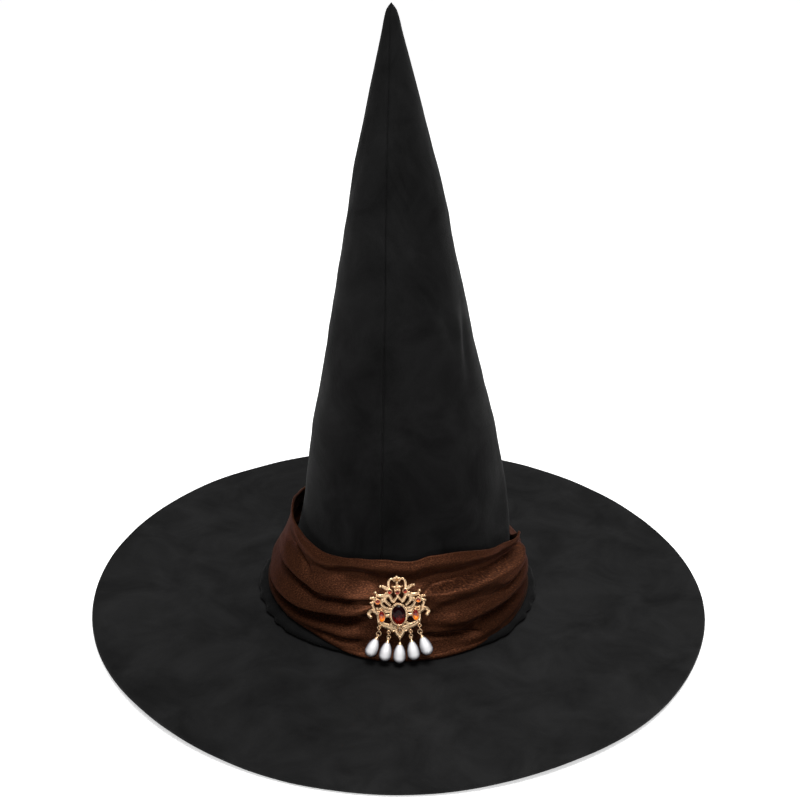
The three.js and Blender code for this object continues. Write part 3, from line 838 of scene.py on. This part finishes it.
casting = []
scrolls = [
    # the crest: two hanging loops at the sides of a small flower, and a star under it
    (
        [(1.4, 22.2), (2.4, 23.6), (4.0, 23.9), (5.4, 22.3), (5.6, 19.6), (5.0, 16.8)],
        (1.0, 1.1, 1.2, 1.2, 1.1, 1.0),
    ),
    ([(0, 17.9), (1.5, 18.0), (2.9, 18.6)], (1.8, 1.4, 0.8)),
    ([(0, 17.9), (1.0, 16.9), (1.7, 16.2)], (1.6, 1.2, 0.8)),
    # sprouts and horns with knobs at their tips
    ([(5.6, 16.6), (7.2, 17.7), (8.6, 18.8), (10.2, 19.2)], (1.8, 2.1, 1.5, 1.4)),
    ([(6.2, 13.7), (8.9, 12.7), (11.6, 12.6), (13.1, 13.3), (13.8, 15.0)], (1.6, 1.9, 1.7, 1.5, 1.4)),
    # an arch over the centre stone, and leaves fanned out round it with slots between them
    ([(3.2, 8.0), (1.8, 9.9), (0.2, 12.0)], (1.4, 1.3, 1.3)),
    ([(3.2, 8.2), (4.2, 10.6), (5.0, 12.8), (5.6, 14.2)], (1.3, 1.9, 1.9, 1.4)),
    ([(4.7, 6.0), (7.0, 7.7), (8.4, 9.6), (8.3, 11.8)], (1.4, 1.7, 1.7, 1.5)),
    ([(5.2, 13.6), (6.9, 12.4), (8.8, 11.2), (10.6, 10.2)], (1.4, 1.8, 1.7, 1.3)),
    ([(6.0, 14.2), (8.0, 14.4), (9.6, 13.0)], (1.0, 1.2, 0.9)),
    ([(8.6, 9.4), (10.2, 9.0), (11.6, 9.2)], (1.5, 1.5, 1.3)),
    ([(5.2, 3.5), (7.8, 4.0), (9.9, 5.5), (10.7, 8.0)], (1.4, 1.7, 1.6, 1.3)),
    ([(5.0, -0.6), (7.0, -0.5), (9.4, -0.8)], (1.5, 1.7, 1.4)),
    ([(9.6, 5.2), (11.2, 4.4), (13.2, 4.2)], (0.8, 1.0, 0.9)),
    # the cluster round the upper stone, and the outer rim down to the side scroll
    ([(13.6, 10.2), (14.8, 11.3), (16.3, 11.7)], (1.7, 1.8, 1.5)),
    ([(14.2, 8.8), (15.4, 9.1), (16.8, 8.8)], (1.4, 1.4, 1.2)),
    ([(16.4, 8.8), (16.7, 7.4), (15.6, 6.0), (15.4, 4.6), (15.4, 3.4)], (1.4, 1.3, 1.3, 1.3, 1.2)),
    (
        [(12.7, 0.2), (14.5, 2.5), (16.8, 3.7), (18.9, 2.6), (19.2, 0.5), (18.1, -0.5)],
        (1.5, 1.9, 1.9, 1.9, 1.7, 1.6),
    ),
    ([(13.2, 3.0), (13.2, 0.4), (13.0, -2.4), (12.9, -4.6)], (1.1, 1.2, 1.3, 1.5)),
    # the broad leaves underneath, from which the drops hang
    ([(12.8, -3.6), (11.6, -5.8), (8.2, -7.4), (4.8, -8.6), (1.6, -9.2)], (1.7, 2.5, 2.8, 2.8, 2.2)),
    ([(6.6, -8.0), (4.6, -10.2), (4.2, -10.8)], (1.6, 1.7, 1.2)),
    ([(4.6, -5.2), (5.4, -6.4), (6.4, -7.2)], (1.2, 1.6, 1.6)),
    ([(2.3, -9.4), (2.3, -11.6), (1.6, -13.4), (0, -14.4)], (1.8, 2.0, 2.0, 1.8)),
    ([(7.0, -8.6), (7.2, -9.4), (7.0, -10.2)], (1.5, 1.2, 0.7)),
    ([(12.7, -5.2), (13.0, -6.0), (12.9, -6.6)], (1.6, 1.2, 0.7)),
]
plating_growth = 1.4  # the scrolls soften and swell when they are cast and plated
broad_leaf = 2.4  # wider strokes than this are leaves, which are flatter
for line, widths in scrolls:
    for side in both(line):
        flatness = 0.52 if max(widths) < broad_leaf else 0.36
        casting.append(stroke(side, [width * plating_growth for width in widths], flatness))
spine = [(0, 12.0), (0, 15.4), (0, 17.9), (0, 20.2), (0, 22.4)]
casting.append(stroke(spine, (1.7, 1.5, 2.1, 1.5, 2.0), 0.6))
casting.append(stroke([(0, -12.4), (0, -13.4), (0, -14.8)], (3.2, 3.0, 1.4), 0.45))
for side in (1, -1):
    for x, z, radius in (
        (10.5, 19.2, 1.05), (14.0, 15.3, 1.1), (17.0, 11.8, 1.05), (17.2, 8.7, 0.95), (17.9, -0.6, 1.2),
        (14.0, 12.0, 0.8), (3.1, 18.8, 0.6), (16.9, 4.0, 0.9), (7.4, 14.6, 0.7), (1.7, 16.1, 0.5),
        (3.9, -11.0, 0.7), (12.9, -4.4, 0.9),
    ):
        casting.append(bead(side * x, -0.35, z, radius))
casting.append(bead(0, -0.5, 20.9, 0.8))
casting.append(bead(0, -0.4, -14.9, 0.8))
casting.append(bead(0, -0.7, 17.9, 0.75))

stones = {  # and how many sides each is cut with
    "centre_stone": 20, "crest_stone": 8, "top_stone_middle": 8, "top_stone_left": 8, "top_stone_right": 8,
    "finial_stone": 8, "upper_stone_left": 8, "upper_stone_right": 8, "side_stone_left": 12,
    "side_stone_right": 12,
}
crest_sink = 1.0  # the crest stone sits this much lower in its flower
for name in stones:
    low, high = brooch_extent(name)
    x, z = (low.x + high.x) / 2, (low.z + high.z) / 2
    across, up = (high.x - low.x) / 2, (high.z - low.z) / 2
    if name == "crest_stone":
        z -= crest_sink
        petals = 6
        for i in range(petals):
            at = 2 * math.pi * (i + 0.5) / petals
            casting.append(bead(x + 1.75 * math.cos(at), -0.5, z + 1.7 * math.sin(at), 0.85))
    wide, lip = (1.25, -1.55) if name == "centre_stone" else (0.5, -1.3)
    casting.append(oval_wall(x, z, across + 0.12, up + 0.12, wide, lip, 0.7, 48))
    floor_plate = bmesh.new()
    bmesh.ops.create_cone(
        floor_plate, cap_ends=True, segments=32, radius1=1, radius2=1, depth=0.7,
        matrix=Matrix.Translation((x, 0.35, z)) @ Matrix.Diagonal((across + 0.4, 1, up + 0.4, 1))
        @ Matrix.Rotation(math.pi / 2, 4, "X"))
    casting.append(floor_plate)
    grains = 30 if name == "centre_stone" else 0
    for i in range(grains):
        at = 2 * math.pi * i / grains
        casting.append(bead(x + (across + 1.45) * math.cos(at), -1.05, z + (up + 1.45) * math.sin(at), 0.42))
    claws = 0 if name == "centre_stone" else 4
    for i in range(claws):
        at = 2 * math.pi * (i + 0.5) / claws
        casting.append(bead(x + (across + 0.15) * math.cos(at), -1.6, z + (up + 0.15) * math.sin(at), 0.34))

cast_mesh = plain_object("brooch_casting_rough", merged(casting))
fuse = cast_mesh.modifiers.new("fuse", "REMESH")
fuse.mode = "VOXEL"
fuse.voxel_size = 0.19
soften = cast_mesh.modifiers.new("soften", "SMOOTH")
soften.factor = 0.5
soften.iterations = 2
fused = bpy.data.meshes.new_from_object(cast_mesh.evaluated_get(bpy.context.evaluated_depsgraph_get()))
bpy.data.objects.remove(cast_mesh)


def wire_ring(radius, wire, opening=0.0, sides=12, steps=36):
    """A ring of round wire lying in the XZ plane, left open by a small angle where it was closed."""
    bm = bmesh.new()
    section = bmesh.ops.create_circle(bm, segments=sides, radius=wire)["verts"]
    bmesh.ops.translate(bm, verts=section, vec=(radius, 0, 0))
    edges = list(bm.edges)
    for vert in section:
        vert.co = Vector((vert.co.x, vert.co.y, 0))
    whole = opening == 0
    bmesh.ops.spin(
        bm, geom=section + edges, angle=2 * math.pi - opening, steps=steps, axis=(0, 1, 0), cent=(0, 0, 0),
        use_merge=whole)
    if whole:
        bmesh.ops.remove_doubles(bm, verts=bm.verts, dist=1e-5)
    else:
        bmesh.ops.holes_fill(bm, edges=[edge for edge in bm.edges if edge.is_boundary], sides=sides)
    bmesh.ops.recalc_face_normals(bm, faces=bm.faces)
    return bm


loop_radius, loop_wire = 1.0, 0.3
brooch_bm = bmesh.new()
brooch_bm.from_mesh(fused)
bpy.data.meshes.remove(fused)
loops = []
for number in range(1, 6):
    hang = Vector(joints[f"drop_{number}_swing"]["pos_m"])
    local = on_brooch.inverted() @ hang / mm
    loops.append(local + Vector((0, 0, loop_radius)))
for middle in loops:
    loop = wire_ring(loop_radius, loop_wire)
    bmesh.ops.translate(loop, verts=loop.verts, vec=middle)
    part = bpy.data.meshes.new("loop")
    loop.to_mesh(part)
    loop.free()
    brooch_bm.from_mesh(part)
    bpy.data.meshes.remove(part)
for face in brooch_bm.faces:
    face.smooth = True
depth_for_shade = brooch_bm.verts.layers.float.new("depth_for_shade")  # 0 in the hollows and 1 on the high places: it drives painted shade in the hollows
for vert in brooch_bm.verts:
    vert[depth_for_shade] = ease(-vert.co.y, -0.35, 0.35)
bmesh.ops.transform(brooch_bm, matrix=on_brooch @ Matrix.Scale(mm, 4), verts=brooch_bm.verts)
brooch = plain_object("brooch_openwork", brooch_bm)


def gilding(name, cast):
    """Pale gold plate with a fine grain and a little wear; a casting gets painted shade, darker the further
    back a place lies.
    """
    material, tree, shader = new_material(name)
    place = tree.nodes.new("ShaderNodeTexCoord")
    grain = noise_node(tree, 700, 5, place.outputs["Object"], 0.65)
    worn = noise_node(tree, 260, 3, place.outputs["Object"])
    colour = mixed_colour(tree, worn.outputs["Fac"], (0.70, 0.42, 0.22), (0.95, 0.70, 0.44))
    if cast:
        high_places = tree.nodes.new("ShaderNodeAttribute")
        high_places.attribute_name = "depth_for_shade"
        # painted shade: a dark brown is mixed in where the casting lies further back, standing in for the
        # shade in its hollows and on the sides of its bars
        painted_hollow_shade = tree.nodes.new("ShaderNodeMix")
        painted_hollow_shade.data_type = "RGBA"
        painted_hollow_shade.inputs["A"].default_value = (0.16, 0.075, 0.03, 1)
        tree.links.new(colour, painted_hollow_shade.inputs["B"])
        tree.links.new(high_places.outputs["Fac"], painted_hollow_shade.inputs["Factor"])
        colour = painted_hollow_shade.outputs["Result"]
    tree.links.new(colour, shader.inputs["Base Color"])
    polish = ramp_node(tree, grain.outputs["Fac"], 0.3, 0.7, 0.2, 0.36)
    tree.links.new(polish.outputs["Result"], shader.inputs["Roughness"])
    tree.links.new(bumped(tree, grain.outputs["Fac"], 0.25, 0.00012), shader.inputs["Normal"])
    shader.inputs["Metallic"].default_value = 0.9
    return material


cast_gilt = gilding("cast_gilt", True)
gilt = gilding("gilt", False)
finish(brooch, cast_gilt, "brooch", "gilt", "brooch_frame")

# ---- Stones ----
# Moulded and cut glass, foiled behind: an oval of deep red in the middle, small red and orange
# rounds above it, two orange drops at its sides, and champagne at the crest and the finial.
def glass(name, deep, bright, painted_glow, coat, dark_above):
    """Foiled glass with painted light: the colour is painted dark at the top of the stone and bright in its
    lower facets, where light that comes in at the top would gather, and the stone glows in that colour.
    """
    material, tree, shader = new_material(name)
    height = tree.nodes.new("ShaderNodeAttribute")
    height.attribute_name = "height"
    place = tree.nodes.new("ShaderNodeTexCoord")
    cells = tree.nodes.new("ShaderNodeTexVoronoi")
    cells.inputs["Scale"].default_value = 800
    tree.links.new(place.outputs["Object"], cells.inputs["Vector"])
    shaken = math_node(tree, "MULTIPLY_ADD", cells.outputs["Distance"], 0.5)
    tree.links.new(height.outputs["Fac"], shaken.inputs[2])
    # painted light: bright in the lower facets and dark at the top, shaken a little facet by facet
    painted_light_below = ramp_node(tree, shaken.outputs["Value"], dark_above - 0.1, dark_above + 0.35, 1, 0)
    colour = mixed_colour(tree, painted_light_below.outputs["Result"], deep, bright)
    tree.links.new(colour, shader.inputs["Base Color"])
    # painted glow: the stone gives off light in its own colour, though it is no lamp
    tree.links.new(colour, shader.inputs["Emission Color"])
    shader.inputs["Emission Strength"].default_value = painted_glow
    shader.inputs["Roughness"].default_value = 0.06
    shader.inputs["Coat Weight"].default_value = coat
    shader.inputs["Specular IOR Level"].default_value = 0.1 + 0.4 * coat
    shader.inputs["Coat Roughness"].default_value = 0.02
    tree.links.new(bumped(tree, cells.outputs["Distance"], 0.15, 0.0002), shader.inputs["Normal"])
    return material


red_glass = glass("red_glass", (0.006, 0.001, 0.0016), (0.17, 0.006, 0.002), 0.25, 0, 0.4)
small_red_glass = glass("small_red_glass", (0.05, 0.002, 0.001), (0.55, 0.03, 0.003), 0.4, 0.5, 0.6)
orange_glass = glass("orange_glass", (0.09, 0.003, 0.0015), (1.0, 0.25, 0.01), 0.8, 0.5, 0.5)
champagne_glass = glass("champagne_glass", (0.09, 0.036, 0.006), (0.36, 0.15, 0.03), 0.1, 0.5, 0.5)


def cut_stone(name, sides):
    """A faceted stone as large as its CAD node: a girdle, two rows of facets, and a flat table."""
    low, high = brooch_extent(name)
    x, z = (low.x + high.x) / 2, (low.z + high.z) / 2
    across, up = (high.x - low.x) / 2, (high.z - low.z) / 2
    if name == "crest_stone":
        z -= crest_sink
        across, up = 1.25 * across, 1.25 * up
    front = low.y - 0.25
    rows = [(0.97, high.y, 0), (1, low.y + 0.75, 0), (0.84, front + 0.35, 0.5), (0.56, front, 0)]
    bm = bmesh.new()
    rings = []
    for grow, depth, shift in rows:
        ring = bmesh.ops.create_circle(bm, segments=sides, radius=1)["verts"]
        bmesh.ops.rotate(bm, verts=ring, matrix=Matrix.Rotation(2 * math.pi * shift / sides, 3, "Z"))
        for vert in ring:
            vert.co = Vector((x + vert.co.x * across * grow, depth, z + vert.co.y * up * grow))
        rings.append([edge for edge in bm.edges if all(vert in ring for vert in edge.verts)])
    for first, second in zip(rings, rings[1:]):
        bmesh.ops.bridge_loops(bm, edges=first + second)
    for ring in (rings[0], rings[-1]):
        bmesh.ops.contextual_create(bm, geom=ring)
    bmesh.ops.triangulate(bm, faces=[face for face in bm.faces if len(face.verts) == 4])
    bmesh.ops.recalc_face_normals(bm, faces=bm.faces)
    height = bm.verts.layers.float.new("height")  # 0 at the bottom of the stone and 1 at its top
    for vert in bm.verts:
        vert[height] = (vert.co.z - low.z) / (high.z - low.z)
    bmesh.ops.transform(bm, matrix=on_brooch @ Matrix.Scale(mm, 4), verts=bm.verts)
    return plain_object(f"{name}_cut", bm)


stone_finishes = {
    "centre": (red_glass, "red_glass"), "top": (small_red_glass, "red_glass"),
    "upper": (orange_glass, "orange_glass"), "side": (orange_glass, "orange_glass"),
    "crest": (champagne_glass, "champagne_glass"), "finial": (champagne_glass, "champagne_glass"),
}
for name, sides in stones.items():
    material, slot = stone_finishes[name.split("_")[0]]
    finish(cut_stone(name, sides), material, "brooch", slot, name)

# ---- Pin back ----
# A bar soldered across the back of the casting carries a hinge on a rivet at one end and an open
# catch at the other; the steel stem lies between them, through the sash.
for name, material in (("pin_bar", gilt), ("pin_rivet", gilt), ("pin_stem", steel)):
    frame["nodes"][name].data.materials.clear()
    frame["nodes"][name].data.materials.append(material)

# ---- Pearl drops ----
# Five moulded drops with a pearl lacquer, each under a small gilt cap on an eye pin, and hung
# from the casting by rings of gilt wire that turn on each other.
pearl, tree, shader = new_material("pearl")
# painted highlight and shade: the pearl is painted near white where it faces the lens and grey towards its
# edges
facing = tree.nodes.new("ShaderNodeLayerWeight")
facing.inputs["Blend"].default_value = 0.5
painted_highlight_core = ramp_node(tree, facing.outputs["Facing"], 0.02, 0.55, 1, 0)
painted_highlight_and_shade = mixed_colour(tree, painted_highlight_core.outputs["Result"], (0.17, 0.165, 0.19), (1.0, 0.99, 1.0))
tree.links.new(painted_highlight_and_shade, shader.inputs["Base Color"])
pearl_place = tree.nodes.new("ShaderNodeTexCoord")
orange_peel = noise_node(tree, 500, 2, pearl_place.outputs["Object"])
tree.links.new(bumped(tree, orange_peel.outputs["Fac"], 0.12, 0.0001), shader.inputs["Normal"])
pearl_polish = ramp_node(tree, orange_peel.outputs["Fac"], 0.3, 0.7, 0.16, 0.24)
tree.links.new(pearl_polish.outputs["Result"], shader.inputs["Roughness"])
shader.inputs["Coat Weight"].default_value = 1
shader.inputs["Coat Roughness"].default_value = 0.05


def placed(bm, middle, axis_z, axis_y):
    """Moves a mesh made in mm about the origin to a place, with its Z and Y turned as given."""
    z = axis_z.normalized()
    x = axis_y.cross(z).normalized()
    y = z.cross(x)
    turn = Matrix([[x[i], y[i], z[i]] for i in range(3)]).to_4x4()
    bmesh.ops.transform(bm, matrix=Matrix.Translation(middle) @ turn @ Matrix.Scale(mm, 4), verts=bm.verts)
    for face in bm.faces:
        face.smooth = True
    return bm


def spun(profile, steps):
    """A solid turned about Z from (radius, height) points that start and end on the axis."""
    bm = bmesh.new()
    line = [bm.verts.new((radius, 0, height)) for radius, height in profile]
    edges = [bm.edges.new(pair) for pair in zip(line, line[1:])]
    bmesh.ops.spin(
        bm, geom=line + edges, angle=2 * math.pi, steps=steps, axis=(0, 0, 1), cent=(0, 0, 0), use_merge=True)
    bmesh.ops.remove_doubles(bm, verts=bm.verts, dist=1e-4)
    bmesh.ops.recalc_face_normals(bm, faces=bm.faces)
    return bm


def ring_measure(name):
    """Middle, normal and outer radius in mm of a CAD ring, from its own points."""
    points = node_points(name)
    middle = sum(points, Vector()) / len(points)
    far = max(points, key=lambda point: (point - middle).length)
    first = (far - middle).normalized()
    best = max(points, key=lambda point: (point - middle).cross(first).length)
    normal = first.cross((best - middle).normalized()).normalized()
    flat = [(point - middle) - normal * (point - middle).dot(normal) for point in points]
    return middle, normal, max(offset.length for offset in flat) / mm


ring_wire = 0.3
ring_opening = 0.12  # radians, where each ring was closed on its neighbour
pearl_width = 4.1
shoulders = [
    (4.0, -7.0), (3.76, -5.6), (3.36, -4.2), (2.8, -2.9), (2.12, -1.7), (1.4, -0.8), (0.7, -0.18), (0, 0),
]
eye_radius, eye_wire = 0.75, 0.3
link = 0.67  # from the middle of one wire to the middle of the wire linked through it
for number in range(1, 6):
    name = f"drop_{number}"
    for part in ("upper", "lower"):
        node = f"{name}_{part}_ring"
        if node not in frame["nodes"]:
            continue
        middle, normal, outer = ring_measure(node)
        ring = placed(wire_ring(outer - ring_wire, ring_wire, ring_opening), middle, upward, normal)
        finish(plain_object(f"{node}_wire", ring), gilt, f"{name}_{part}", "gilt", node)
    hinge = joints.get(f"{name}_nod") or joints[f"{name}_sway"]
    hang = Vector(hinge["pos_m"])
    down = (node_middle(f"{name}_pearl") - hang).normalized()
    side_on = Vector(hinge["axis"])
    reach = [(point - hang).dot(down) / mm for point in node_points(f"{name}_pearl")]
    top, bottom = min(reach), max(reach)
    length = bottom - top
    pear = [(0, -length)] + arc_points((0, pearl_width - length), pearl_width, -80, 10, 9) + shoulders
    body = placed(spun(pear, 40), hang + down * top * mm, -down, side_on)
    pearl_piece = plain_object(f"{name}_pearl_drop", body)
    rounded = pearl_piece.modifiers.new("round", "SUBSURF")
    rounded.levels = rounded.render_levels = 1
    finish(pearl_piece, pearl, f"{name}_pearl", "pearl", f"{name}_pearl")
    eye = wire_ring(eye_radius, eye_wire, 0, 10, 28)
    bmesh.ops.rotate(eye, verts=eye.verts, cent=(0, 0, 0), matrix=Matrix.Rotation(math.pi / 2, 3, "Z"))
    bmesh.ops.translate(eye, verts=eye.verts, vec=(0, 0, link - eye_radius))
    neck = link - 2 * eye_radius
    cap = spun([
        (0, neck + 0.1), (0.34, neck + 0.05), (0.36, neck - 0.2), (0.52, neck - 0.3), (0.5, neck - 0.5),
        (0.9, neck - 0.62), (1.25, -top - 0.42), (1.42, -top - 0.75), (1.3, -top - 0.85),
        (0.8, -top - 0.2), (0, -top + 0.02)], 24)
    for vert in cap.verts:
        if math.hypot(vert.co.x, vert.co.y) > 1.1:
            vert.co.z -= 0.22 * (0.5 + 0.5 * math.cos(6 * math.atan2(vert.co.y, vert.co.x)))
    pin = placed(merged([eye, cap]), hang, -down, side_on)
    finish(plain_object(f"{name}_cap_and_eye", pin), gilt, f"{name}_pearl", "gilt", f"{name}_eye_pin")
